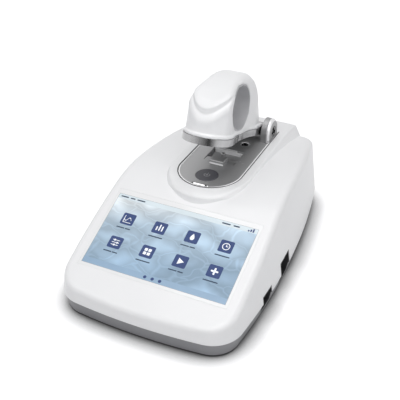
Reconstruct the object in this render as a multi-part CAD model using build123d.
from build123d import *
from math import cos, radians, sin, tan
import os

# Micro-volume spectrophotometer: a bench housing with an inclined touch screen and a metal
# sample deck, over which a hinged arm with a finger-ring handle closes.
# Frame: X to the operator's right, Y to the rear, Z up. The origin is on the bench, in the
# middle of the housing. All sizes are millimetres. The arm is drawn closed, then opened.

# Screen, on the inclined front face
screen_width = 154.08
screen_length = 85.92
screen_tilt = 22.39
glass_border_side = 3.0
glass_border_top = 6.0
glass_border_bottom = 3.5
glass_thickness = 1.8
tape_thickness = 0.4
module_border = 5.0
panel_thickness = 3.0
panel_border = 0.7
window_gap = 0.3
backlight_thickness = 5.0
recess_width = 30.0
recess_length = 60.0
recess_depth = 1.0
recess_pitch = 45.0
frame_lip = 8.0
clip_offset = 52.0
clip_width = 9.0
clip_thickness = 1.2
clip_overlap = 6.0
clip_screw_length = 3.6
fit_gap = 0.3

# Deck and its raised surround
deck_height = 94.6
deck_half_width = 34.3
deck_length = 143.0
deck_thickness = 3.0
deck_gap = 0.5
deck_edge = 0.45
deck_corner_radius = 5.0
surround_width = 9.7
surround_rise = 0.6
surround_draft = 24.0
surround_edge_radius = 2.2
surround_rear_drop = 5.5
surround_rear_length = 44.0
gasket_flange = 2.4
gasket_gap = 0.08

# Housing
glass_side_margin = 18.66
glass_front_margin = 30.54
glass_deck_gap = 7.83
deck_rear_margin = 40.7
widest_setback = 108.5
side_bow_radius = 860.0
front_bow_radius = 600.0
rear_bow_radius = 700.0
front_corner_radius = 31.0
rear_corner_radius = 24.0
side_draft = 7.0
cover_wall = 2.8
top_edge_radius = 7.0
crown_radius = 139.0
crown_drop = 1.6
arch_lead = 4.91
rear_fall = 15.5

# Lower tray
foot_height = 3.0
tray_floor = 2.5
tray_wall = 2.6
seam_height = 18.0
seam_step = 0.8
tray_draft_inset = 3.0
rim_height = 5.0
rim_drop = 3.0
rim_wall = 1.5
vent_setback = 118.0
vent_pitch = 8.0
vent_width = 3.0
vent_half = 22.0
vent_count = 6

# Key and light on the deck
key_setback = 23.7
key_radius = 12.0
key_gap = 0.25
key_travel = 0.8
key_proud = 0.3
key_flange = 1.0
key_flange_rim = 1.2
key_under_gap = 0.15
light_setback = 4.2
light_length = 13.0
light_width = 2.4
light_border = 1.6
light_side = 0.4
light_frame_depth = 1.2
key_button_rise = 0.75
key_button_gap = 0.1
key_button_radius = 1.7
key_board_border = 3.0
key_switch_size = 6.0
key_switch_height = 3.2
key_spacer_radius = 2.5
spacer_margin = 6.5

# Sample stage
stage_setback = 53.2
stage_width = 33.0
stage_length = 30.0
stage_gap = 0.8
stage_front_gap = 0.3
stage_drop = 5.0
stage_flat = 6.0
stage_fall = 10.0
stage_wall_thickness = 3.2
stage_wall_notch = 9.0
block_width = 16.0
block_length = 12.0
block_lead = 6.0
block_gap = 1.3
pedestal_setback = 65.2
pedestal_radius = 2.2
pedestal_drop = 1.1
pedestal_clearance = 1.6
pedestal_flange_rim = 3.2
pedestal_flange_drop = 0.8
sample_path = 1.05

# Lift of the lower pedestal
lift_screw_radius = 1.5
coupler_radius = 5.0
coupler_length = 8.0
coupler_drop = 7.6
lift_screw_length = 26.0
motor_radius = 10.0
motor_height = 14.0
motor_flange = 2.0
motor_flange_half = 18.0
motor_flange_width = 14.0
motor_gap = 4.0
motor_post_offset = 14.5
motor_post_radius = 2.5
bracket_half = 26.0
bracket_thickness = 2.0
bracket_margin = 4.5

# Hinge
pivot_tail = 16.3
ear_radius = 14.0
ear_thickness = 10.0
ear_bevel = 2.4
ear_edge_margin = 0.3
ear_screw_gap = 0.1
ear_screw_margin = 5.5
ear_screw_depth = 5.5
ear_wall = 2.4
pin_radius = 3.0
bush_radius = 4.5
knuckle_radius = 7.6
knuckle_rise = 1.5
knuckle_gap = 0.4
running_gap = 0.05
cap_radius = 5.4
cap_recess = 1.5
cap_sink = 0.2
cap_hole_radius = 1.05
cap_hole_offset = 2.6

# Arm
arm_opening = 18.5
arm_thickness = 7.2
arm_clearance = 5.7
arm_front_half = 27.0
arm_front_length = 26.5
arm_shoulder = 0.71
arm_overhang = 3.8
arm_waist_half = 18.6
arm_waist_setback = 63.5
arm_hinge_inset = 1.5
arm_neck_lead = 6.0
arm_screw_offset = 11.5
arm_screw_front = 14.3
arm_screw_lead = 34.2
arm_screw_length = 13.0
head_seat_depth = 3.2
flange_thickness = 3.6
flange_inset = 0.5
flange_edge = 0.8

# Arm cover with its finger ring
head_wall = 2.6
ring_tube_wall = 2.0
ring_long = 27.5
ring_short = 24.0
ring_front_wall = 25.0
ring_floor = 0.4
ring_roof = 9.0
crown_lead = 16.8
nose_rise = 14.0
nose_inset = 2.0
brow_rise = 42.0
brow_setback = 19.3
nape_rise = 34.5
nape_lead = 19.7
cover_rear_gap = 5.5
cover_inset = 2.0
cover_waist_gain = 2.6
cover_draft = 3.2
cover_edge_radius = 9.0
cover_boss_radius = 3.4
liner_wall = 1.2
liner_gap = 0.15

# Inside frame and fasteners
chassis_inset = 1.3
chassis_wall = 3.0
chassis_plate = 4.0
chassis_lead = 39.0
chassis_tail = 2.0
chassis_flange = 10.0
chassis_screw_inset = 12.0
chassis_screw_length = 5.5
seat_wall = 0.5
deck_screw_offset = 10.0
deck_screw_lead = 24.5
deck_screw_radius = 2.5
deck_screw_sink = 1.4
countersink_radius = 6.0
screw_radius = 1.5
screw_head = 2.6
head_share = 0.7
screw_gap = 0.1
boss_radius = 4.0
case_screw_rise = 2.0
case_screw_length = 14.0
case_screw_front_x = 58.0
case_screw_front_setback = 16.5
case_screw_rear_x = 66.0
case_screw_rear_setback = 54.0
foot_radius = 9.0
foot_edge = 0.8
foot_front_x = 70.0
foot_front_setback = 40.0
foot_rear_x = 56.0
foot_rear_setback = 32.0

# Circuit boards
board_thickness = 1.6
standoff_height = 3.0
standoff_radius = 2.6
board_width = 150.0
board_setback = 31.0
board_port_margin = 12.9
board_side_gap = 4.7
board_corner = 5.0
power_length = 83.0
power_rear_gap = 62.0
power_side_gap = 0.7
frame_clearance = 2.0
can_size = 32.0
can_offset = -24.0
can_setback = 36.0
can_height = 4.0
chip_size = 18.0
chip_offset = 12.0
chip_height = 3.0
plug_width = 14.0
plug_length = 8.0
plug_offset = -51.0
plug_lead = 16.0
plug_height = 6.0
strip_width = 42.0
strip_lead = 10.5
capacitor_radius = 5.0
capacitor_height = 16.0
capacitor_pitch = 13.0
capacitor_lead = 20.0
capacitor_offset = 6.0
choke_width = 11.0
choke_length = 24.0
choke_lead = 26.0
choke_pitch = 29.0
choke_height = 10.0

# Pockets for the switch and the sockets
pocket_wall = 1.5
pocket_depth = 10.0
pocket_gap = 0.15
switch_setback = 141.5
switch_pocket_margin = 1.5
switch_pocket_height = 24.4
port_setback = 90.5
port_pocket_margin = 2.9
port_pocket_floor = 0.5
port_pocket_headroom = 1.9
rear_pocket_width = 84.0
rear_pocket_rise = 3.0
rear_pocket_height = 33.5
rear_pocket_depth = 8.5

# Power switch and sockets
bezel_length = 21.0
bezel_height = 15.0
bezel_thickness = 1.5
bezel_border = 1.0
switch_body_depth = 14.0
rocker_end_gap = 1.0
rocker_wall = 0.5
rocker_side_wall = 1.0
rocker_well_depth = 8.0
rocker_sink = 2.5
rocker_front = 4.0
rocker_tilt = 10.0
rocker_pin_radius = 1.0
rocker_pin_reach = 0.8
usb_width = 13.2
usb_height = 12.5
usb_depth = 18.0
usb_skin = 0.65
usb_shelf = 1.5
usb_lip = 0.9
usb_proud = 1.5
usb_slot_depth = 10.0
tongue_margin = 0.8
tongue_rise = 0.7
tongue_thickness = 1.6
socket_proud = 1.0
socket_rise = 15.5
jack_offset = 24.0
jack_width = 9.0
jack_height = 11.0
jack_depth = 14.0
jack_bore = 3.2
jack_bore_depth = 10.0
jack_pin_radius = 1.0
square_offset = 4.0
square_width = 12.0
square_height = 11.0
square_depth = 16.0
square_skin = 1.3
square_slot_depth = 9.0
square_tongue_half = 2.8
square_tongue_thickness = 3.2

# Optical bench and lamp
bench_clearance = 3.0
bench_length = 84.0
bench_height = 28.0
bench_wall = 2.5
bench_lead = 43.7
optic_height = 17.0
grating_setback = 16.0
grating_offset = 4.0
grating_width = 18.0
grating_depth = 5.0
grating_turn = 14.0
mirror_setback = 18.0
mirror_offset = 14.0
mirror_width = 14.0
mirror_depth = 4.0
mirror_turn = -38.0
detector_setback = 34.0
detector_gap = 0.4
detector_length = 44.0
detector_height = 20.0
sensor_thickness = 2.4
sensor_length = 30.0
sensor_height = 10.0
lid_thickness = 1.5
lamp_wall_gap = 19.7
lamp_length = 50.0
lamp_height = 25.0
lamp_setback = 185.0
fin_count = 7
fin_pitch = 6.0
fin_gap = 3.0
fin_lead = 5.0
supply_length = 40.0
supply_height = 14.0
supply_gap = 8.0
supply_inset = 2.0
coil_radius = 5.5
coil_height = 10.0

# Places that follow from the sizes
slope = tan(radians(screen_tilt))
glass_width = screen_width + 2 * glass_border_side
glass_low = -screen_length / 2 - glass_border_bottom
glass_high = screen_length / 2 + glass_border_top
half_width = glass_width / 2 + glass_side_margin
screen_setback = glass_front_margin + round(-glass_low * cos(radians(screen_tilt)), 2)
surround_setback = screen_setback + round(glass_high * cos(radians(screen_tilt)), 2) + glass_deck_gap
deck_setback = surround_setback + surround_width
overall_depth = deck_setback + deck_length + deck_rear_margin
front_y = -overall_depth / 2
rear_y = overall_depth / 2
widest_y = front_y + widest_setback
screen_y = front_y + screen_setback
deck_tip_y = front_y + deck_setback
deck_center_y = deck_tip_y + deck_half_width
deck_rear_y = deck_tip_y + deck_length

deck_under = deck_height - deck_thickness
surround_top = deck_height + surround_rise
crown_height = deck_height - crown_drop
rear_height = crown_height - rear_fall
arch_height = crown_height - crown_radius * (1 - cos(radians(screen_tilt)))
screen_height = round(arch_height - (glass_high + arch_lead) * sin(radians(screen_tilt)), 2)
front_wall_height = screen_height - screen_setback * slope - seam_height
floor_top = foot_height + tray_floor
screw_seat = floor_top - seat_wall
screw_bore = screw_radius + screw_gap

glass_seat = glass_thickness + tape_thickness
frame_depth = glass_thickness + panel_thickness
module_width = screen_width + 2 * module_border
module_half = screen_length / 2 + module_border
module_back = frame_depth + backlight_thickness
clip_along = module_half + fit_gap + 1.2 + boss_radius

key_y = deck_tip_y + key_setback
light_y = deck_tip_y + light_setback
key_under = deck_under - key_under_gap
key_switch_top = key_under - key_flange - key_travel - key_button_gap
key_board_top = key_switch_top - key_button_rise - key_switch_height

stage_y = deck_tip_y + stage_setback
stage_floor = deck_height - stage_drop
pedestal_y = deck_tip_y + pedestal_setback
plate_under = deck_under - chassis_plate
pivot_y = deck_rear_y - pivot_tail
pivot_z = deck_height + knuckle_radius + knuckle_rise
pivot_axis = Axis((0, pivot_y, pivot_z), (1, 0, 0))
ear_outer = deck_half_width - ear_edge_margin
ear_inner = ear_outer - ear_thickness
arm_under = deck_height + arm_clearance
arm_top = arm_under + arm_thickness
arm_tip_y = deck_tip_y - arm_overhang
arm_hinge_half = ear_inner - arm_hinge_inset
pedestal_top = arm_under - pedestal_drop
coupler_top = plate_under - coupler_drop
coupler_low = coupler_top - coupler_length
motor_top = coupler_low - motor_gap
ring_y = arm_tip_y + ring_front_wall + ring_long
ring_rise = flange_thickness + ring_floor + ring_short
head_height = ring_rise + ring_short + ring_roof
crown_y = ring_y + crown_lead
nape_y = pivot_y - nape_lead

chassis_half_width = deck_half_width - chassis_inset
chassis_y0 = deck_tip_y + chassis_lead
chassis_y1 = deck_rear_y - chassis_tail
side_room = chassis_half_width + chassis_flange + frame_clearance

switch_y = front_y + switch_setback
port_y = front_y + port_setback
side_pocket_back = half_width - pocket_depth
rear_pocket_back = rear_y - rear_pocket_depth
switch_pocket_length = bezel_length + 2 * switch_pocket_margin
switch_pocket_low = floor_top + pocket_wall
switch_pocket_high = switch_pocket_low + switch_pocket_height
switch_z = switch_pocket_low + switch_pocket_height / 2
rear_pocket_low = floor_top + rear_pocket_rise
rear_pocket_high = rear_pocket_low + rear_pocket_height
rear_socket_z = rear_pocket_low + socket_rise
rear_socket_front = rear_pocket_back + socket_proud

board_height = floor_top + standoff_height
board_top = board_height + board_thickness
board_x1 = side_pocket_back - board_side_gap
board_x0 = board_x1 - board_width
board_y0 = front_y + board_setback
board_y1 = port_y + usb_width / 2 + board_port_margin
power_x0 = side_room
power_x1 = side_pocket_back - switch_body_depth - power_side_gap
power_y1 = rear_y - power_rear_gap
power_y0 = power_y1 - power_length
port_pocket_length = usb_width + 2 * port_pocket_margin
port_pocket_low = board_height - port_pocket_floor
port_pocket_high = board_top + usb_height + port_pocket_headroom
usb_front = side_pocket_back + usb_proud

switch_body_length = bezel_length - 2 * bezel_border
switch_body_height = bezel_height - 2 * bezel_border
bezel_front = side_pocket_back + bezel_thickness
rocker_half_length = switch_body_length / 2 - rocker_end_gap - rocker_wall
rocker_half_height = switch_body_height / 2 - rocker_side_wall - fit_gap
rocker_x = bezel_front - rocker_sink

bench_half = chassis_half_width - chassis_wall - bench_clearance
bench_y0 = deck_tip_y + bench_lead
bench_y1 = bench_y0 + bench_length
bench_top = floor_top + bench_height
lamp_x0 = lamp_wall_gap - half_width
lamp_x1 = -side_room
lamp_y0 = front_y + lamp_setback

case_screw_places = [(side * case_screw_front_x, front_y + case_screw_front_setback) for side in (-1, 1)]
case_screw_places += [(side * case_screw_rear_x, rear_y - case_screw_rear_setback) for side in (-1, 1)]
foot_places = [(side * foot_front_x, front_y + foot_front_setback) for side in (-1, 1)]
foot_places += [(side * foot_rear_x, rear_y - foot_rear_setback) for side in (-1, 1)]
screen_plane = Plane((0, screen_y, screen_height), x_dir=(1, 0, 0),
                     z_dir=(0, -sin(radians(screen_tilt)), cos(radians(screen_tilt))))

# Lengths that only have to reach past the piece they cut
beyond = 10.0
far = 250.0


def block(x0, x1, y0, y1, z0, z1):
    """A box between two corners."""
    size = (x1 - x0, y1 - y0, z1 - z0)
    return Pos((x0 + x1) / 2, (y0 + y1) / 2, (z0 + z1) / 2) * Box(*size)


def post(x, y, z0, z1, radius):
    """An upright cylinder between two heights."""
    return Pos(x, y, (z0 + z1) / 2) * Cylinder(radius, z1 - z0)


def rod(x0, x1, y, z, radius):
    """A cylinder along X between two places."""
    return Pos((x0 + x1) / 2, y, z) * Rot(0, 90, 0) * Cylinder(radius, x1 - x0)


def open_arm(shape):
    """Turns a piece of the closed arm to its half-open rest place."""
    return shape.rotate(pivot_axis, -arm_opening)


def screw(x, y, z_seat, length, up=True, radius=screw_radius, head=screw_head):
    """A pan-head screw whose head rests on the face at z_seat and whose shank goes up or down."""
    way = 1 if up else -1
    shank = post(x, y, min(z_seat, z_seat + way * length), max(z_seat, z_seat + way * length), radius)
    cap_low = min(z_seat, z_seat - way * head * head_share)
    cap = post(x, y, cap_low, cap_low + head * head_share, head)
    return shank + cap


def side_prism(lines, half):
    """A closed outline seen from the side, drawn out to both sides."""
    return extrude(Plane.YZ * make_face(lines), amount=half, both=True)


def belt_outline(inset=0.0):
    """Plan outline of the housing at its widest line: bowed sides joined by round corners."""
    offset = side_bow_radius - half_width
    left = Pos(offset, widest_y) * Circle(side_bow_radius - inset)
    right = Pos(-offset, widest_y) * Circle(side_bow_radius - inset)
    front = Pos(0, front_y + front_bow_radius) * Circle(front_bow_radius - inset)
    rear = Pos(0, rear_y - rear_bow_radius) * Circle(rear_bow_radius - inset)
    shape = left & right & front & rear
    corners = shape.vertices().sort_by(Axis.Y)
    shape = fillet(corners[0:2], front_corner_radius - inset)
    corners = shape.vertices().sort_by(Axis.Y)[-2:]
    return fillet(corners, rear_corner_radius - inset)


def incline_height(y):
    """Height of the inclined front face at a place along Y."""
    return screen_height + (y - screen_y) * slope


def arch_start():
    """Where the arch above the screen leaves the incline, and where its top lies, along Y."""
    start_y = screen_y + (arch_height - screen_height) / slope
    return start_y, start_y + crown_radius * sin(radians(screen_tilt))


def side_profile(inset=0.0):
    """Side view of the top: the incline, the arch and the long fall to the rear."""
    start_y, top_y = arch_start()
    run = rear_y - top_y
    rear_radius = (run * run + rear_fall * rear_fall) / (2 * rear_fall)
    radius = crown_radius - inset
    tilt = radians(screen_tilt)
    center_z = crown_height - crown_radius
    nose_y = front_y - 2 * beyond
    nose = (nose_y, incline_height(nose_y) - inset / cos(tilt))
    start = (top_y - radius * sin(tilt), center_z + radius * cos(tilt))
    middle = (top_y - radius * sin(tilt / 2), center_z + radius * cos(tilt / 2))
    top = (top_y, crown_height - inset)
    radius = rear_radius - inset
    center_z = crown_height - rear_radius
    reach = (run + beyond) / radius
    halfway = (top_y + radius * sin(reach / 2), center_z + radius * cos(reach / 2))
    end = (top_y + radius * sin(reach), center_z + radius * cos(reach))
    low = -2 * beyond
    lines = [
        Line((nose_y, low), nose),
        Line(nose, start),
        ThreePointArc(start, middle, top),
        ThreePointArc(top, halfway, end),
        Line(end, (end[0], low)),
        Line((end[0], low), (nose_y, low)),
    ]
    return side_prism(lines, far)


def wall_prism(inset=0.0):
    """The housing's side walls: the belt outline drawn upwards with a draft."""
    face = Pos(0, 0, seam_height) * belt_outline(inset)
    return extrude(face, amount=surround_top - seam_height + beyond, taper=side_draft)


def surround_prism(inset=0.0):
    """The raised surround of the deck, widening downwards, that runs on to the rear as a band."""
    rise = surround_top - seam_height - beyond
    foot = deck_half_width + surround_width - inset + rise * tan(radians(surround_draft))
    length = rear_y + foot - deck_center_y
    bottom = Pos(0, deck_center_y) * Circle(foot)
    bottom += Pos(0, deck_center_y + length / 2) * Rectangle(2 * foot, length)
    body = extrude(Pos(0, 0, surround_top - inset - rise) * bottom, amount=rise, taper=surround_draft)
    return body & band_profile(inset)


def band_profile(inset=0.0):
    """Side view of the band: level beside the deck, then falling gently to the rear."""
    start = rear_y - surround_rear_length
    run = surround_rear_length
    radius = (run * run + surround_rear_drop ** 2) / (2 * surround_rear_drop)
    top = surround_top - inset
    reach = (run + beyond) / radius
    end = (start + radius * sin(reach), top - radius * (1 - cos(reach)))
    middle = (start + radius * sin(reach / 2), top - radius * (1 - cos(reach / 2)))
    lines = [
        Line((front_y, seam_height), (front_y, top)),
        Line((front_y, top), (start, top)),
        ThreePointArc((start, top), middle, end),
        Line(end, (end[0], seam_height)),
        Line((end[0], seam_height), (front_y, seam_height)),
    ]
    return side_prism(lines, half_width)


def main_form(inset=0.0):
    """Housing walls closed by the side profile."""
    return wall_prism(inset) & side_profile(inset)


def band_form(inset=0.0):
    """The raised band, cut off by the housing walls."""
    return surround_prism(inset) & wall_prism(inset)


def tray_form(inset=0.0):
    """Outer shape of the lower tray, drawn in towards the bench."""
    low = Pos(0, 0, foot_height) * belt_outline(seam_step + tray_draft_inset + inset)
    high = Pos(0, 0, seam_height) * belt_outline(seam_step + inset)
    return loft([low, high], ruled=True)


def pill_outline(grow=0.0):
    """Plan outline of the deck: a round front, straight sides and a square rear."""
    half = deck_half_width + grow
    length = deck_rear_y + grow - deck_center_y
    shape = Pos(0, deck_center_y) * Circle(half)
    shape += Pos(0, deck_center_y + length / 2) * Rectangle(2 * half, length)
    corners = shape.vertices().sort_by(Axis.Y)[-2:]
    return fillet(corners, deck_corner_radius + grow)


def pill(grow, z0, z1):
    """The deck's outline between two heights."""
    return extrude(Pos(0, 0, z0) * pill_outline(grow), amount=z1 - z0)


def screen_block(width, low, high, depth0, depth1):
    """A box set into the inclined face: low and high run along the incline from its middle."""
    box = Pos(0, (low + high) / 2, -(depth0 + depth1) / 2) * Box(width, high - low, depth1 - depth0)
    return screen_plane * box


def screen_post(x, along, depth0, depth1, radius):
    """A cylinder square to the inclined face."""
    cylinder = Pos(x, along, -(depth0 + depth1) / 2) * Cylinder(radius, depth1 - depth0)
    return screen_plane * cylinder



def cover_outer():
    """The cover's outer skin: walls and top with rounded edges, and the raised band."""
    body = main_form()
    rim = [e for e in body.edges() if e.center().Z > seam_height + 1 and e.geom_type != GeomType.LINE]
    body = fillet(rim, min(top_edge_radius, 0.8 * front_wall_height))
    band = band_form()
    edge_z = surround_top - 1
    flat = [e for e in band.edges() if e.geom_type == GeomType.LINE and e.center().Z > edge_z
            and abs(e.center().X) > deck_half_width]
    bent = [e for e in band.edges() if e.geom_type != GeomType.LINE and e.center().Z > rear_height]
    band = fillet(flat + bent, surround_edge_radius)
    return body + band


def screen_frame():
    """The thick frame behind the glass, with its clip bosses."""
    reach = module_half + frame_lip
    frame = screen_block(module_width + 2, -reach, reach, glass_seat, frame_depth)
    for x, along in clip_places():
        frame += screen_post(x, along, frame_depth, module_back, boss_radius)
    room = module_half + fit_gap + 0.2
    frame -= screen_block(module_width + 2 * fit_gap, -room, room, frame_depth, module_back + beyond)
    return frame


def clip_places():
    """Where the four display clips are screwed on, on the inclined plane."""
    return [(way * clip_offset, side * clip_along) for way in (-1, 1) for side in (-1, 1)]


def screen_opening():
    """Everything that is cut for the glass and the panel, seen square to the incline."""
    half = window_gap / 2
    glass = screen_block(glass_width + window_gap, glass_low - half, glass_high + half, -beyond, glass_seat)
    reach = screen_length / 2 + panel_border + window_gap
    width = screen_width + 2 * panel_border + 2 * window_gap
    return glass + screen_block(width, -reach, reach, 0, module_back + beyond)


def cover_bosses():
    """Columns that take the case screws, from the roof down to the tray floor."""
    low = floor_top + case_screw_rise
    return [post(x, y, low, crown_height, boss_radius) for x, y in case_screw_places]


def side_pocket(y, length, low, high, grow=0.0):
    """The box of a pocket in the right-hand wall."""
    return block(side_pocket_back - grow, half_width + beyond, y - length / 2 - grow,
                 y + length / 2 + grow, low - grow, high + grow)


def rear_pocket(grow=0.0):
    """The box of the socket pocket in the rear wall."""
    half = rear_pocket_width / 2
    return block(-half - grow, half + grow, rear_pocket_back - grow, rear_y + beyond,
                 rear_pocket_low - grow, rear_pocket_high + grow)


def pocket_cuts():
    """The holes in both shells that the three pocket boxes fill."""
    grow = pocket_wall + pocket_gap
    cuts = side_pocket(switch_y, switch_pocket_length, switch_pocket_low, switch_pocket_high, grow)
    cuts += side_pocket(port_y, port_pocket_length, port_pocket_low, port_pocket_high, grow)
    return cuts + rear_pocket(grow)


def make_cover():
    """Upper shell, open below, with the windows for screen, deck and pockets."""
    shell = cover_outer() - (main_form(cover_wall) + band_form(cover_wall))
    room = main_form(cover_wall - 1.0)
    shell += screen_frame() & room
    shell -= screen_opening()
    for x, along in clip_places():
        shell -= screen_post(x, along, module_back - clip_screw_length - 0.4, module_back + 1, screw_bore)
    shell -= pill(deck_gap, plate_under - chassis_plate, surround_top + 1)
    shell -= pocket_cuts()
    for column in cover_bosses():
        shell += column & (room + tray_form(tray_wall + 1))
    for x, y in case_screw_places:
        shell -= post(x, y, 0, screw_seat + case_screw_length + 0.5, screw_bore)
    return shell


def make_tray():
    """Lower shell: floor, drawn-in walls, a locating rim, screw pads and vents."""
    shell = tray_form() - (tray_form(tray_wall) - block(-far, far, -far, far, 0, floor_top))
    outside = belt_outline(cover_wall + fit_gap)
    rim = Pos(0, 0, seam_height - rim_drop) * (outside - belt_outline(cover_wall + fit_gap + rim_wall))
    shell += extrude(rim, amount=rim_height)
    shell -= pocket_cuts()
    pad_top = floor_top + case_screw_rise
    for x, y in case_screw_places:
        shell += post(x, y, screw_seat, pad_top, boss_radius)
        shell -= post(x, y, pad_top, seam_height + rim_height, boss_radius + fit_gap)
    for x, y in case_screw_places + chassis_screw_places():
        shell -= post(x, y, 0, seam_height, screw_bore)
        shell -= post(x, y, 0, screw_seat, screw_head + fit_gap)
    for i in range(vent_count):
        y = front_y + vent_setback + vent_pitch * i
        shell -= block(-vent_half, vent_half, y, y + vent_width, 0, floor_top + 1)
    return shell


def chassis_screw_places():
    """Where the inner frame's flanges are screwed to the floor."""
    x = chassis_half_width + chassis_flange / 2
    ends = (chassis_y0 + chassis_screw_inset, chassis_y1 - chassis_screw_inset)
    return [(side * x, y) for side in (-1, 1) for y in ends]


def make_chassis_screws():
    """Screws up through the tray into the inner frame's flanges."""
    return Compound([screw(x, y, screw_seat, chassis_screw_length) for x, y in chassis_screw_places()])


def make_chassis():
    """Inner frame that carries the deck and the hinge: a bridge with flanged legs."""
    wide = chassis_half_width
    inside = wide - chassis_wall
    body = block(-wide, wide, chassis_y0, chassis_y1, floor_top, deck_under)
    body -= block(-inside, inside, chassis_y0 - 1, chassis_y1 + 1, 0, plate_under)
    for side in (-1, 1):
        low = min(side * wide, side * (wide + chassis_flange))
        body += block(low, low + chassis_flange, chassis_y0, chassis_y1, floor_top, floor_top + chassis_wall)
    for x, y in chassis_screw_places():
        body -= post(x, y, 0, floor_top + 2 * chassis_wall, screw_bore)
    half = stage_width / 2 + fit_gap
    y0 = stage_y + stage_front_gap
    body -= block(-half, half, y0 - 0.2, y0 + stage_length + 0.4, plate_under - 1, deck_height)
    for x, y in ear_screw_places():
        body -= post(x, y, plate_under - 1, deck_height, screw_bore)
    for x, y in deck_screw_places():
        body -= post(x, y, plate_under - 1, deck_height, deck_screw_radius + screw_gap)
    return body


def ear_screw_places():
    """Two screws for each hinge ear, close to the inner frame's walls."""
    x = chassis_half_width - chassis_wall - screw_head - ear_screw_gap
    reach = ear_radius - ear_screw_margin
    return [(side * x, pivot_y + way * reach) for side in (-1, 1) for way in (-1, 1)]


def deck_screw_places():
    """Two countersunk screws in front of the hinge."""
    return [(side * deck_screw_offset, pivot_y - deck_screw_lead) for side in (-1, 1)]


def make_deck():
    """Metal deck plate with its key hole, light slot, stage opening and screw holes."""
    plate = pill(0, deck_under, deck_height)
    plate = chamfer(plate.faces().sort_by(Axis.Z)[-1].edges(), deck_edge)
    low = deck_under - 1
    plate -= post(0, key_y, low, deck_height + 1, key_radius + key_gap)
    slot = Pos(0, light_y, low) * SlotOverall(light_length + 0.4, light_width + 0.4)
    plate -= extrude(slot, amount=deck_thickness + 2)
    frame = SlotOverall(light_length + 2 * light_border + 0.2, light_width + 2 * light_side + 0.2)
    plate -= extrude(Pos(0, light_y, deck_height - light_frame_depth) * frame, amount=beyond)
    half = stage_width / 2 + stage_gap
    plate -= block(-half, half, stage_y, stage_y + stage_length + stage_gap, low, deck_height + 1)
    for x, y in ear_screw_places():
        plate -= post(x, y, low, deck_height + 1, screw_bore)
    for x, y in deck_screw_places():
        plate -= post(x, y, low, deck_height + 1, deck_screw_radius + screw_gap)
        sink = Cone(deck_screw_radius + screw_gap, countersink_radius, deck_thickness)
        plate -= Pos(x, y, deck_under + deck_thickness / 2) * sink
    return plate


def make_gasket():
    """Dark seal in the gap round the deck, with a flange under the cover."""
    low = deck_under - 0.4
    flange = pill(gasket_flange, low, surround_top - cover_wall - 0.1)
    stand = pill(deck_gap - gasket_gap, low, deck_height - 0.6)
    return flange + stand - pill(gasket_gap, low - 1, surround_top + 1)


def make_deck_screws():
    """Two countersunk screws with socket recesses."""
    head_top = deck_height - deck_screw_sink
    head_low = deck_under + 0.15
    rise = head_top - head_low
    wide = deck_screw_radius + (countersink_radius - deck_screw_radius) * (rise - 0.2) / deck_thickness
    group = []
    for x, y in deck_screw_places():
        head = Pos(x, y, head_low + rise / 2) * Cone(deck_screw_radius, wide, rise)
        shank = post(x, y, plate_under - 3, head_low + 0.01, deck_screw_radius)
        socket = extrude(Pos(x, y, head_top - 1.6) * RegularPolygon(1.8, 6), amount=beyond)
        group.append(head + shank - socket)
    return Compound(group)


def make_key():
    """Round key: a disc in the deck's hole with a retaining flange below it."""
    disc = post(0, key_y, key_under, deck_height + key_proud, key_radius)
    disc = chamfer(disc.faces().sort_by(Axis.Z)[-1].edges(), 0.4)
    return disc + post(0, key_y, key_under - key_flange, key_under, key_radius + key_flange_rim)


def make_key_board():
    """Small board under the front of the deck."""
    radius = deck_half_width - key_board_border
    disc = post(0, deck_center_y, key_board_top - board_thickness, key_board_top, radius)
    return disc & block(-far, far, -far, chassis_y0 - 1.0, 0, far)


def make_key_switch():
    """Tactile switch below the key."""
    half = key_switch_size / 2
    body_top = key_board_top + key_switch_height
    body = block(-half, half, key_y - half, key_y + half, key_board_top, body_top)
    return body + post(0, key_y, body_top, key_switch_top, key_button_radius)


def key_spacer_places():
    """Where the key board hangs from the deck, beside the key."""
    wide = key_radius + spacer_margin
    reach = key_radius * 0.7
    return [(side * wide, key_y + way * reach) for side in (-1, 1) for way in (-1, 1)]


def make_key_spacers():
    """Spacers between the deck and the key board."""
    places = key_spacer_places()
    return Compound([post(x, y, key_board_top, deck_under, key_spacer_radius) for x, y in places])


def make_light():
    """Light bar: a clear pipe from the key board up to the deck."""
    slot = Pos(0, light_y, key_board_top) * SlotOverall(light_length, light_width)
    return extrude(slot, amount=deck_height - 0.1 - key_board_top)


def make_light_frame():
    """Black inlay round the light bar."""
    outer = SlotOverall(light_length + 2 * light_border, light_width + 2 * light_side)
    inner = SlotOverall(light_length + 0.2, light_width + 0.2)
    low = deck_height - light_frame_depth
    return extrude(Pos(0, light_y, low) * (outer - inner), amount=light_frame_depth - 0.05)


def make_stage():
    """Sample stage: an insert in the deck that falls away to a low floor behind."""
    y0 = stage_y + stage_front_gap
    y1 = y0 + stage_length
    top = deck_height - 0.2
    slope_end = y0 + stage_flat + stage_fall
    lines = Polyline((y0, plate_under), (y0, top), (y0 + stage_flat, top), (slope_end, stage_floor),
                     (y1, stage_floor), (y1, plate_under), close=True)
    body = side_prism(lines.edges(), stage_width / 2)
    return body - post(0, pedestal_y, plate_under - 1, deck_height, pedestal_radius + running_gap)


def make_sample_block():
    """Raised block in front of the pedestal, on the deck's edge and the stage's front."""
    y0 = stage_y - block_lead
    half = block_width / 2
    body = block(-half, half, y0, y0 + block_length, deck_height, arm_under - block_gap)
    return chamfer(body.faces().sort_by(Axis.Z)[-1].edges(), 0.7)


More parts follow.
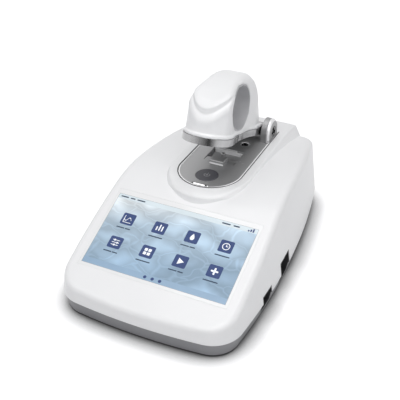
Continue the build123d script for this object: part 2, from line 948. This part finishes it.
def make_stage_wall():
    """Bright rear wall of the stage well, with a notch on its right."""
    y0 = stage_y + stage_length + stage_front_gap + 0.2 - stage_wall_thickness - 0.3
    half = stage_width / 2 - 0.6
    top = deck_height - 0.1
    body = block(-half, half, y0, y0 + stage_wall_thickness, stage_floor, top)
    return body - block(stage_wall_notch, half + 1, y0 - 1, y0 + stage_wall_thickness + 1, top - 2.1, top + 1)


def make_pedestal():
    """Lower measuring pedestal, a steel post through the stage."""
    stem = post(0, pedestal_y, coupler_top, pedestal_top, pedestal_radius)
    return chamfer(stem.faces().sort_by(Axis.Z)[-1].edges(), 0.4)


def make_path_motor():
    """Small linear motor that sets the sample path."""
    flange_low = motor_top - motor_flange
    wide = motor_flange_half
    deep = motor_flange_width / 2
    body = post(0, pedestal_y, flange_low - motor_height, flange_low, motor_radius)
    body += block(-wide, wide, pedestal_y - deep, pedestal_y + deep, flange_low, motor_top)
    return body - post(0, pedestal_y, 0, coupler_top, lift_screw_radius + running_gap)


def make_motor_bracket():
    """Plate under the inner frame that carries the stage, with two posts for the motor."""
    low = plate_under - bracket_thickness
    y0 = stage_y - bracket_margin
    y1 = stage_y + stage_length + bracket_margin
    body = block(-bracket_half, bracket_half, y0, y1, low, plate_under)
    for side in (-1, 1):
        body += post(side * motor_post_offset, pedestal_y, motor_top, plate_under, motor_post_radius)
    return body - post(0, pedestal_y, motor_top, deck_under, pedestal_radius + 0.8)


def make_ear(side):
    """Hinge ear: a round-topped cheek with a bevelled outer rim and a blind bearing bore."""
    low = deck_height
    y0 = pivot_y - ear_radius
    y1 = pivot_y + ear_radius
    shape = rod(ear_inner, ear_outer, pivot_y, pivot_z, ear_radius)
    shape += block(ear_inner, ear_outer, y0, y1, low, pivot_z)
    shape = shape & block(ear_inner, ear_outer, y0, y1, low, pivot_z + ear_radius)
    face = shape.faces().sort_by(Axis.X)[-1]
    rim = [e for e in face.edges() if e.center().Z > low + 0.1]
    shape = chamfer(rim, ear_bevel)
    shape -= rod(ear_inner - 1, ear_outer - ear_wall, pivot_y, pivot_z, bush_radius)
    shape -= rod(ear_outer - cap_recess, ear_outer + 1, pivot_y, pivot_z, cap_radius + 0.2)
    for x, y in ear_screw_places():
        shape -= post(abs(x), y, low - 1, low + ear_screw_depth + 0.5, screw_bore)
    return shape if side > 0 else shape.mirror(Plane.YZ)


def make_bushes():
    """Plain bearings in the ears."""
    bush = rod(ear_inner, ear_outer - ear_wall - 0.1, pivot_y, pivot_z, bush_radius)
    bush -= rod(0, ear_outer, pivot_y, pivot_z, pin_radius + running_gap)
    return Compound([bush, bush.mirror(Plane.YZ)])


def make_pin():
    """Hinge pin."""
    reach = ear_outer - ear_wall - 0.4
    return rod(-reach, reach, pivot_y, pivot_z, pin_radius)


def make_ear_caps():
    """Round caps on the ears with three small holes each."""
    cap = rod(ear_outer - cap_recess, ear_outer - cap_sink, pivot_y, pivot_z, cap_radius)
    for i in range(3):
        turn = radians(90 + 120 * i)
        y = pivot_y + cap_hole_offset * cos(turn)
        z = pivot_z + cap_hole_offset * sin(turn)
        cap -= rod(ear_outer - cap_recess + 0.5, ear_outer + 1, y, z, cap_hole_radius)
    return Compound([cap, cap.mirror(Plane.YZ)])


def make_ear_screws():
    """Screws up through the inner frame and the deck into the ears."""
    length = deck_height + ear_screw_depth - plate_under
    return Compound([screw(x, y, plate_under, length) for x, y in ear_screw_places()])


def arm_outline(inset=0.0, waist_gain=0.0, rear=None):
    """Plan of the arm: a round front, a slight waist and straight sides at the hinge."""
    wide = arm_front_half - inset
    wide_y = arm_tip_y + arm_front_length
    waist = arm_waist_half - inset + waist_gain
    waist_y = arm_tip_y + arm_waist_setback
    hinge = arm_hinge_half - inset
    hinge_y = pivot_y - ear_radius - arm_neck_lead
    end = pivot_y if rear is None else rear
    reach = arm_front_length - inset
    shoulder = arm_shoulder
    edges = [
        Line((hinge, hinge_y), (hinge, end)),
        Line((hinge, end), (-hinge, end)),
        Line((-hinge, end), (-hinge, hinge_y)),
    ]
    straight = ((0, 1), (0, 1))
    for side in (-1, 1):
        corner = (side * wide * shoulder, wide_y - reach * shoulder)
        edges.append(Spline((0, wide_y - reach), corner, (side * wide, wide_y), tangents=((side, 0), (0, 1))))
        neck = ((wide + waist) / 2 * side, (wide_y + waist_y) / 2)
        tail = ((waist + hinge) / 2 * side, (waist_y + hinge_y) / 2)
        edges.append(Spline((side * wide, wide_y), neck, (side * waist, waist_y), tangents=straight))
        edges.append(Spline((side * waist, waist_y), tail, (side * hinge, hinge_y), tangents=straight))
    return make_face(edges)


def make_arm_plate():
    """Metal arm plate with the hinge knuckle and the pedestal's hole."""
    plate = extrude(Pos(0, 0, arm_under) * arm_outline(), amount=arm_thickness)
    reach = ear_inner - knuckle_gap
    plate += rod(-reach, reach, pivot_y, pivot_z, knuckle_radius)
    plate -= rod(-ear_outer, ear_outer, pivot_y, pivot_z, pin_radius + running_gap)
    plate -= post(0, pedestal_y, arm_under - 1, arm_top + 1, pedestal_radius + pedestal_clearance)
    for x, y in arm_screw_places():
        plate -= post(x, y, arm_under - 1, arm_top + 1, screw_bore)
        plate -= post(x, y, arm_under - 1, arm_under + head_seat_depth, screw_head + 0.25)
    return plate


def arm_screw_places():
    """Four screws that hold the arm cover."""
    places = (arm_tip_y + arm_screw_front, pivot_y - arm_screw_lead)
    return [(side * arm_screw_offset, y) for side in (-1, 1) for y in places]


def make_arm_screws():
    """Screws up through the arm plate into the cover."""
    seat = arm_under + head_seat_depth
    return Compound([screw(x, y, seat, arm_screw_length) for x, y in arm_screw_places()])


def ring_prism(grow, half):
    """The finger hole as a solid bar: an ellipse drawn out along X."""
    shape = Ellipse(ring_long + grow, ring_short + grow)
    place = Pos(ring_y, arm_top + ring_rise)
    return extrude(Plane.YZ * place * shape, amount=half, both=True)


def head_profile(inset=0.0):
    """Side view of the arm cover: an upright nose, a sloping brow, a high crown and a nape."""
    low = arm_under
    front = arm_tip_y - beyond
    slant = inset * 0.7
    nose = (arm_tip_y + nose_inset + inset, arm_top + nose_rise)
    brow = (arm_tip_y + brow_setback + slant, arm_top + brow_rise - slant)
    top = (crown_y, arm_top + head_height - inset)
    nape = (nape_y - slant, arm_top + nape_rise - slant)
    end = (pivot_y - cover_rear_gap - inset, arm_top)
    lines = [
        Line((front, low), (front, nose[1])),
        Line((front, nose[1]), nose),
        Spline(nose, brow, top, tangents=((0, 1), (1, 0))),
        Spline(top, nape, end, tangents=((1, 0), (0.2, -1))),
        Line(end, (end[0], low)),
        Line((end[0], low), (front, low)),
    ]
    return side_prism(lines, 2 * arm_front_half)


def head_form(inset=0.0):
    """The arm cover's body above its flange, with its top edges rounded."""
    rise = head_height + beyond
    edge = cover_inset + inset
    gain = rise * tan(radians(cover_draft))
    rear = pivot_y - cover_rear_gap + 2
    low = Pos(0, 0, arm_top) * arm_outline(edge, cover_waist_gain, rear)
    high = Pos(0, 0, arm_top + rise) * arm_outline(edge + gain, cover_waist_gain, rear)
    body = loft([low, high], ruled=True) & head_profile(inset)
    level = arm_top + nose_rise + 2
    rim = [e for e in body.edges() if e.center().Z > level and e.bounding_box().size.Y > arm_waist_half]
    return fillet(rim, cover_edge_radius - inset)


def make_arm_cover():
    """White arm cover: a hollow shell with a flange, a tube round the finger hole and screw bosses."""
    half = arm_front_half + beyond
    flange = extrude(Pos(0, 0, arm_top) * arm_outline(flange_inset, 0, pivot_y - cover_rear_gap),
                     amount=flange_thickness)
    flange = chamfer(flange.faces().sort_by(Axis.Z)[-1].edges(), flange_edge)
    cavity = head_form(head_wall) - ring_prism(ring_tube_wall, half)
    for x, y in arm_screw_places():
        cavity -= post(x, y, arm_under, arm_top + head_height, cover_boss_radius)
    cover = head_form() + flange - cavity - ring_prism(0, half)
    cover -= rod(-ear_outer, ear_outer, pivot_y, pivot_z, knuckle_radius + fit_gap)
    tip = arm_under + head_seat_depth + arm_screw_length + 0.4
    for x, y in arm_screw_places():
        cover -= post(x, y, arm_top - 1, tip, screw_bore)
    return cover


def make_liner():
    """Grey liner of the finger hole, trimmed to the cover's sides."""
    half = arm_front_half + beyond
    tube = ring_prism(-liner_gap, half) - ring_prism(-liner_gap - liner_wall, half)
    return tube & head_form(0.4)


def make_upper_pedestal():
    """Upper measuring pedestal, hung from a flange on the arm plate."""
    tip = pedestal_top + sample_path
    stem = post(0, pedestal_y, tip, arm_top + 0.1, pedestal_radius)
    top = arm_top + flange_thickness - pedestal_flange_drop
    return stem + post(0, pedestal_y, arm_top, top, pedestal_radius + pedestal_flange_rim)


def make_glass():
    """Touch glass, level with the cover."""
    return screen_block(glass_width, glass_low, glass_high, 0, glass_thickness)


def make_tape():
    """Adhesive frame behind the glass."""
    half = screen_length / 2 + panel_border + window_gap
    outer = screen_block(glass_width - 0.4, glass_low + 0.2, glass_high - 0.2, glass_thickness, glass_seat)
    width = screen_width + 2 * panel_border + 2 * window_gap
    return outer - screen_block(width, -half, half, 0, beyond)


def make_panel():
    """Display panel in the cover's window."""
    half = screen_length / 2 + panel_border
    return screen_block(screen_width + 2 * panel_border, -half, half, glass_thickness, frame_depth)


def make_backlight():
    """Backlight and metal frame behind the panel, with three shallow recesses."""
    body = screen_block(module_width, -module_half, module_half, frame_depth, module_back)
    half = recess_length / 2
    for x in (-recess_pitch, 0.0, recess_pitch):
        recess = screen_block(recess_width, -half, half, module_back - recess_depth, module_back + 1)
        body -= recess.moved(Pos(x, 0, 0))
    return body


def make_clips():
    """Four spring clips that hold the display against the frame."""
    group = []
    outside = module_back + clip_thickness
    for x, along in clip_places():
        side = 1 if along > 0 else -1
        ends = sorted((side * (module_half - clip_overlap), along + side * boss_radius))
        plate = screen_block(clip_width, ends[0], ends[1], module_back, outside).moved(Pos(x, 0, 0))
        group.append(plate - screen_post(x, along, module_back - 1, outside + 1, screw_bore))
    return Compound(group)


def make_clip_screws():
    """Screws of the display clips."""
    group = []
    seat = module_back + clip_thickness
    for x, along in clip_places():
        shank = screen_post(x, along, module_back - clip_screw_length, seat, screw_radius)
        group.append(shank + screen_post(x, along, seat, seat + screw_head * head_share, screw_head))
    return Compound(group)


def board_corners():
    """Standoff places near the main board's corners."""
    columns = (board_x0 + board_corner, board_x1 - board_corner)
    return [(x, y) for x in columns for y in (board_y0 + board_corner, board_y1 - board_corner)]


def make_main_board():
    """Main circuit board with mounting holes."""
    board = block(board_x0, board_x1, board_y0, board_y1, board_height, board_top)
    for x, y in board_corners():
        board -= post(x, y, floor_top, board_top + 1, screw_bore)
    return board


def board_can(x, y, width, length, height):
    """A flat can on the main board, about its middle."""
    return block(x - width / 2, x + width / 2, y - length / 2, y + length / 2, board_top, board_top + height)


def make_board_parts():
    """Shield cans and connectors on the main board."""
    middle_y = board_y0 + can_setback
    return Compound([
        board_can(can_offset, middle_y, can_size, can_size, can_height),
        board_can(chip_offset, middle_y, chip_size, chip_size, chip_height),
        board_can(plug_offset, board_y1 - plug_lead, plug_width, plug_length, plug_height),
        board_can(0, board_y1 - strip_lead, strip_width, plug_length, plug_height),
    ])


def make_standoffs():
    """Standoffs under the main board and the power board."""
    places = board_corners() + power_corners()
    return Compound([post(x, y, floor_top, board_height, standoff_radius) for x, y in places])


def make_board_screws():
    """Screws that hold both boards on their standoffs."""
    group = []
    for x, y in board_corners() + power_corners():
        head = post(x, y, board_top, board_top + screw_head * head_share, screw_head)
        group.append(post(x, y, board_height + 0.05, board_top, screw_radius) + head)
    return Compound(group)


def power_corners():
    """Standoff places near the power board's corners."""
    inset = board_corner - 0.5
    columns = (power_x0 + inset, power_x1 - inset)
    return [(x, y) for x in columns for y in (power_y0 + inset, power_y1 - inset)]


def make_power_board():
    """Power board behind the switch."""
    board = block(power_x0, power_x1, power_y0, power_y1, board_height, board_top)
    for x, y in power_corners():
        board -= post(x, y, floor_top, board_top + 1, screw_bore)
    return board


def make_power_parts():
    """Capacitors and two chokes on the power board."""
    middle = (power_x0 + power_x1) / 2
    top = board_top + capacitor_height
    group = []
    for i in range(4):
        y = power_y0 + capacitor_lead + capacitor_pitch * i
        group.append(post(middle - capacitor_offset, y, board_top, top, capacitor_radius))
    x0 = middle + capacitor_radius - capacitor_offset + 2
    for i in range(2):
        y = power_y0 + choke_lead + choke_pitch * i
        group.append(block(x0, x0 + choke_width, y - choke_length / 2, y + choke_length / 2,
                           board_top, board_top + choke_height))
    return Compound(group)


def make_bench():
    """Optical bench: an open metal box on the floor under the sample stage."""
    box = block(-bench_half, bench_half, bench_y0, bench_y1, floor_top, bench_top)
    inner = bench_half - bench_wall
    low = floor_top + bench_wall
    return box - block(-inner, inner, bench_y0 + bench_wall, bench_y1 - bench_wall, low, bench_top + 1)


def make_bench_lid():
    """Lid of the optical bench."""
    return block(-bench_half, bench_half, bench_y0, bench_y1, bench_top, bench_top + lid_thickness)


def bench_piece(x, y, width, depth, height, turn=0.0):
    """A block standing on the bench's floor, turned about the upright."""
    low = floor_top + bench_wall
    return Pos(x, y, low + height / 2) * Rot(0, 0, turn) * Box(width, depth, height)


def make_grating():
    """Diffraction grating on its mount."""
    y = bench_y1 - grating_setback
    return bench_piece(-grating_offset, y, grating_width, grating_depth, optic_height, grating_turn)


def make_mirror():
    """Fold mirror opposite the grating."""
    y = bench_y0 + mirror_setback
    return bench_piece(mirror_offset, y, mirror_width, mirror_depth, optic_height, mirror_turn)


def make_detector():
    """Detector board with its line sensor."""
    x = bench_wall - bench_half + detector_gap
    y = bench_y0 + detector_setback
    board = bench_piece(x + board_thickness / 2, y, board_thickness, detector_length, detector_height)
    face = x + board_thickness
    return board + bench_piece(face + sensor_thickness / 2, y, sensor_thickness, sensor_length, sensor_height)


def make_lamp():
    """Flash lamp housing with cooling fins."""
    body = block(lamp_x0, lamp_x1, lamp_y0, lamp_y0 + lamp_length, floor_top, floor_top + lamp_height)
    low = floor_top + lamp_height / 2
    for i in range(fin_count):
        y = lamp_y0 + fin_lead + fin_pitch * i
        body -= block(lamp_x0 - 1, lamp_x1 + 1, y, y + fin_gap, low, floor_top + lamp_height + 1)
    return body


def make_lamp_supply():
    """Lamp supply in front of the lamp housing."""
    y1 = lamp_y0 - supply_gap
    top = floor_top + supply_height
    body = block(lamp_x0 + supply_inset, lamp_x1 - supply_inset, y1 - supply_length, y1, floor_top, top)
    return body + post((lamp_x0 + lamp_x1) / 2, y1 - supply_length / 3, top, top + coil_height, coil_radius)


def pod_skin():
    """Space that the pocket boxes may fill: the housing drawn in a little."""
    return main_form(0.25) + tray_form(0.25)


def make_switch_pod():
    """Black box round the power switch, open outwards."""
    pocket = (switch_y, switch_pocket_length, switch_pocket_low, switch_pocket_high)
    shape = (side_pocket(*pocket, pocket_wall) - side_pocket(*pocket)) & pod_skin()
    return shape - switch_body_space(fit_gap)


def make_port_pod():
    """Black box round the two data sockets, open outwards."""
    pocket = (port_y, port_pocket_length, port_pocket_low, port_pocket_high)
    shape = (side_pocket(*pocket, pocket_wall) - side_pocket(*pocket)) & pod_skin()
    return shape - usb_space(fit_gap)


def make_rear_pod():
    """Black box round the rear sockets, open to the rear."""
    shape = (rear_pocket(pocket_wall) - rear_pocket()) & pod_skin()
    return shape - jack_space(fit_gap) - square_space(fit_gap)


def switch_block(x0, x1, half, tall):
    """A box about the middle of the switch, between two places along X."""
    return block(x0, x1, switch_y - half, switch_y + half, switch_z - tall, switch_z + tall)


def switch_body_space(grow=0.0):
    """Body of the switch behind the pocket."""
    half = switch_body_length / 2 + grow
    tall = switch_body_height / 2 + grow
    return switch_block(side_pocket_back - switch_body_depth, side_pocket_back + 0.01, half, tall)


def make_power_switch():
    """Switch body with its bezel and the rocker's well."""
    body = switch_body_space()
    body += switch_block(side_pocket_back, bezel_front, bezel_length / 2, bezel_height / 2)
    body -= switch_block(bezel_front - rocker_well_depth, bezel_front + 1,
                         rocker_half_length + rocker_end_gap, rocker_half_height + fit_gap)
    reach = rocker_half_height + rocker_pin_reach + 0.1
    body -= post(rocker_x, switch_y, switch_z - reach, switch_z + reach, rocker_pin_radius + running_gap)
    return body


def make_rocker():
    """Rocker with two sloping faces, tipped to its front side."""
    long = rocker_half_length
    lines = Polyline((-1, -long), (rocker_front, -long), (rocker_front - 1.8, 0), (rocker_front, long),
                     (-1, long), (-3, long / 2), (-3, -long / 2), close=True)
    face = make_face(lines.edges())
    shape = extrude(Pos(0, 0, -rocker_half_height) * face, amount=2 * rocker_half_height)
    reach = rocker_half_height + rocker_pin_reach
    shape += post(0, 0, -reach, reach, rocker_pin_radius)
    return Pos(rocker_x, switch_y, switch_z) * Rot(0, 0, rocker_tilt) * shape


def usb_space(grow=0.0):
    """Body of the double data socket, standing on the main board."""
    half = usb_width / 2 + grow
    return block(usb_front - usb_depth, usb_front, port_y - half, port_y + half, board_top,
                 board_top + usb_height + grow)


def make_usb():
    """Two stacked data sockets, open outwards, each with a tongue."""
    body = usb_space()
    half = usb_width / 2 - usb_skin
    height = (usb_height - 2 * usb_lip - usb_shelf) / 2
    back = usb_front - usb_slot_depth
    inside = half - tongue_margin
    for i in (0, 1):
        low = board_top + usb_lip + (height + usb_shelf) * i
        tongue_low = low + tongue_rise
        slot = block(back, usb_front + 1, port_y - half, port_y + half, low, low + height)
        slot -= block(back, usb_front - tongue_margin, port_y - inside, port_y + inside,
                      tongue_low, tongue_low + tongue_thickness)
        body -= slot
    return body


def jack_space(grow=0.0):
    """Body of the power inlet."""
    half = jack_width / 2 + grow
    tall = jack_height / 2 + grow
    return block(-jack_offset - half, -jack_offset + half, rear_socket_front - jack_depth, rear_socket_front,
                 rear_socket_z - tall, rear_socket_z + tall)


def make_dc_jack():
    """Round power inlet with its centre pin."""
    back = rear_socket_front - jack_bore_depth
    bore = Pos(-jack_offset, back + jack_bore_depth / 2, rear_socket_z) * Rot(90, 0, 0)
    body = jack_space() - bore * Cylinder(jack_bore, jack_bore_depth)
    pin_length = jack_bore_depth - 1
    pin = Pos(-jack_offset, back + pin_length / 2, rear_socket_z) * Rot(90, 0, 0)
    return body + pin * Cylinder(jack_pin_radius, pin_length)


def square_space(grow=0.0):
    """Body of the square data socket."""
    half = square_width / 2 + grow
    tall = square_height / 2 + grow
    back = rear_socket_front - square_depth
    return block(square_offset - half, square_offset + half, back, rear_socket_front,
                 rear_socket_z - tall, rear_socket_z + tall)


def make_square_socket():
    """Square data socket with its tongue."""
    half = square_width / 2 - square_skin
    tall = square_height / 2 - square_skin
    back = rear_socket_front - square_slot_depth
    slot = block(square_offset - half, square_offset + half, back, rear_socket_front + 1,
                 rear_socket_z - tall, rear_socket_z + tall)
    thick = square_tongue_thickness / 2
    tongue = block(square_offset - square_tongue_half, square_offset + square_tongue_half, back,
                   rear_socket_front - tongue_margin, rear_socket_z - thick, rear_socket_z + thick)
    return square_space() - (slot - tongue)


def make_feet():
    """Four rubber feet with rounded rims."""
    group = []
    for x, y in foot_places:
        foot = post(x, y, 0, foot_height, foot_radius)
        foot = chamfer(foot.faces().sort_by(Axis.Z)[0].edges(), foot_edge)
        group.append(foot)
    return Compound(group)


def make_case_screws():
    """Four case screws from below."""
    return Compound([screw(x, y, screw_seat, case_screw_length) for x, y in case_screw_places])


def make_lift_rod():
    """Coupler and lift screw under the lower pedestal, as one turned piece."""
    coupler = post(0, pedestal_y, coupler_low, coupler_top, coupler_radius)
    return coupler + post(0, pedestal_y, coupler_low - lift_screw_length, coupler_low, lift_screw_radius)


parts = {
    "top_cover": make_cover(),
    "base_tray": make_tray(),
    "touch_glass": make_glass(),
    "glass_tape": make_tape(),
    "display_panel": make_panel(),
    "display_backlight": make_backlight(),
    "display_clips": make_clips(),
    "clip_screws": make_clip_screws(),
    "main_board": make_main_board(),
    "board_parts": make_board_parts(),
    "board_standoffs": make_standoffs(),
    "board_screws": make_board_screws(),
    "power_board": make_power_board(),
    "power_parts": make_power_parts(),
    "chassis": make_chassis(),
    "chassis_screws": make_chassis_screws(),
    "deck_plate": make_deck(),
    "deck_gasket": make_gasket(),
    "deck_screws": make_deck_screws(),
    "measure_key": make_key(),
    "key_board": make_key_board(),
    "key_switch": make_key_switch(),
    "key_spacers": make_key_spacers(),
    "status_light": make_light(),
    "light_frame": make_light_frame(),
    "stage_insert": make_stage(),
    "sample_block": make_sample_block(),
    "stage_wall": make_stage_wall(),
    "lower_pedestal": make_pedestal(),
    "lift_rod": make_lift_rod(),
    "path_motor": make_path_motor(),
    "motor_bracket": make_motor_bracket(),
    "left_ear": make_ear(-1),
    "right_ear": make_ear(1),
    "ear_screws": make_ear_screws(),
    "hinge_bushes": make_bushes(),
    "ear_caps": make_ear_caps(),
    "optical_bench": make_bench(),
    "bench_lid": make_bench_lid(),
    "grating": make_grating(),
    "fold_mirror": make_mirror(),
    "detector_board": make_detector(),
    "flash_lamp": make_lamp(),
    "lamp_supply": make_lamp_supply(),
    "switch_pod": make_switch_pod(),
    "port_pod": make_port_pod(),
    "rear_pod": make_rear_pod(),
    "power_switch": make_power_switch(),
    "power_rocker": make_rocker(),
    "usb_sockets": make_usb(),
    "dc_jack": make_dc_jack(),
    "square_socket": make_square_socket(),
    "feet": make_feet(),
    "case_screws": make_case_screws(),
}

arm_parts = {
    "arm_plate": make_arm_plate(),
    "hinge_pin": make_pin(),
    "arm_cover": make_arm_cover(),
    "arm_screws": make_arm_screws(),
    "finger_liner": make_liner(),
    "upper_pedestal": make_upper_pedestal(),
}

os.makedirs("parts", exist_ok=True)
for name, shape in parts.items():
    export_step(shape, "parts/" + name + ".step")
for name, shape in arm_parts.items():
    export_step(open_arm(shape), "parts/" + name + ".step")
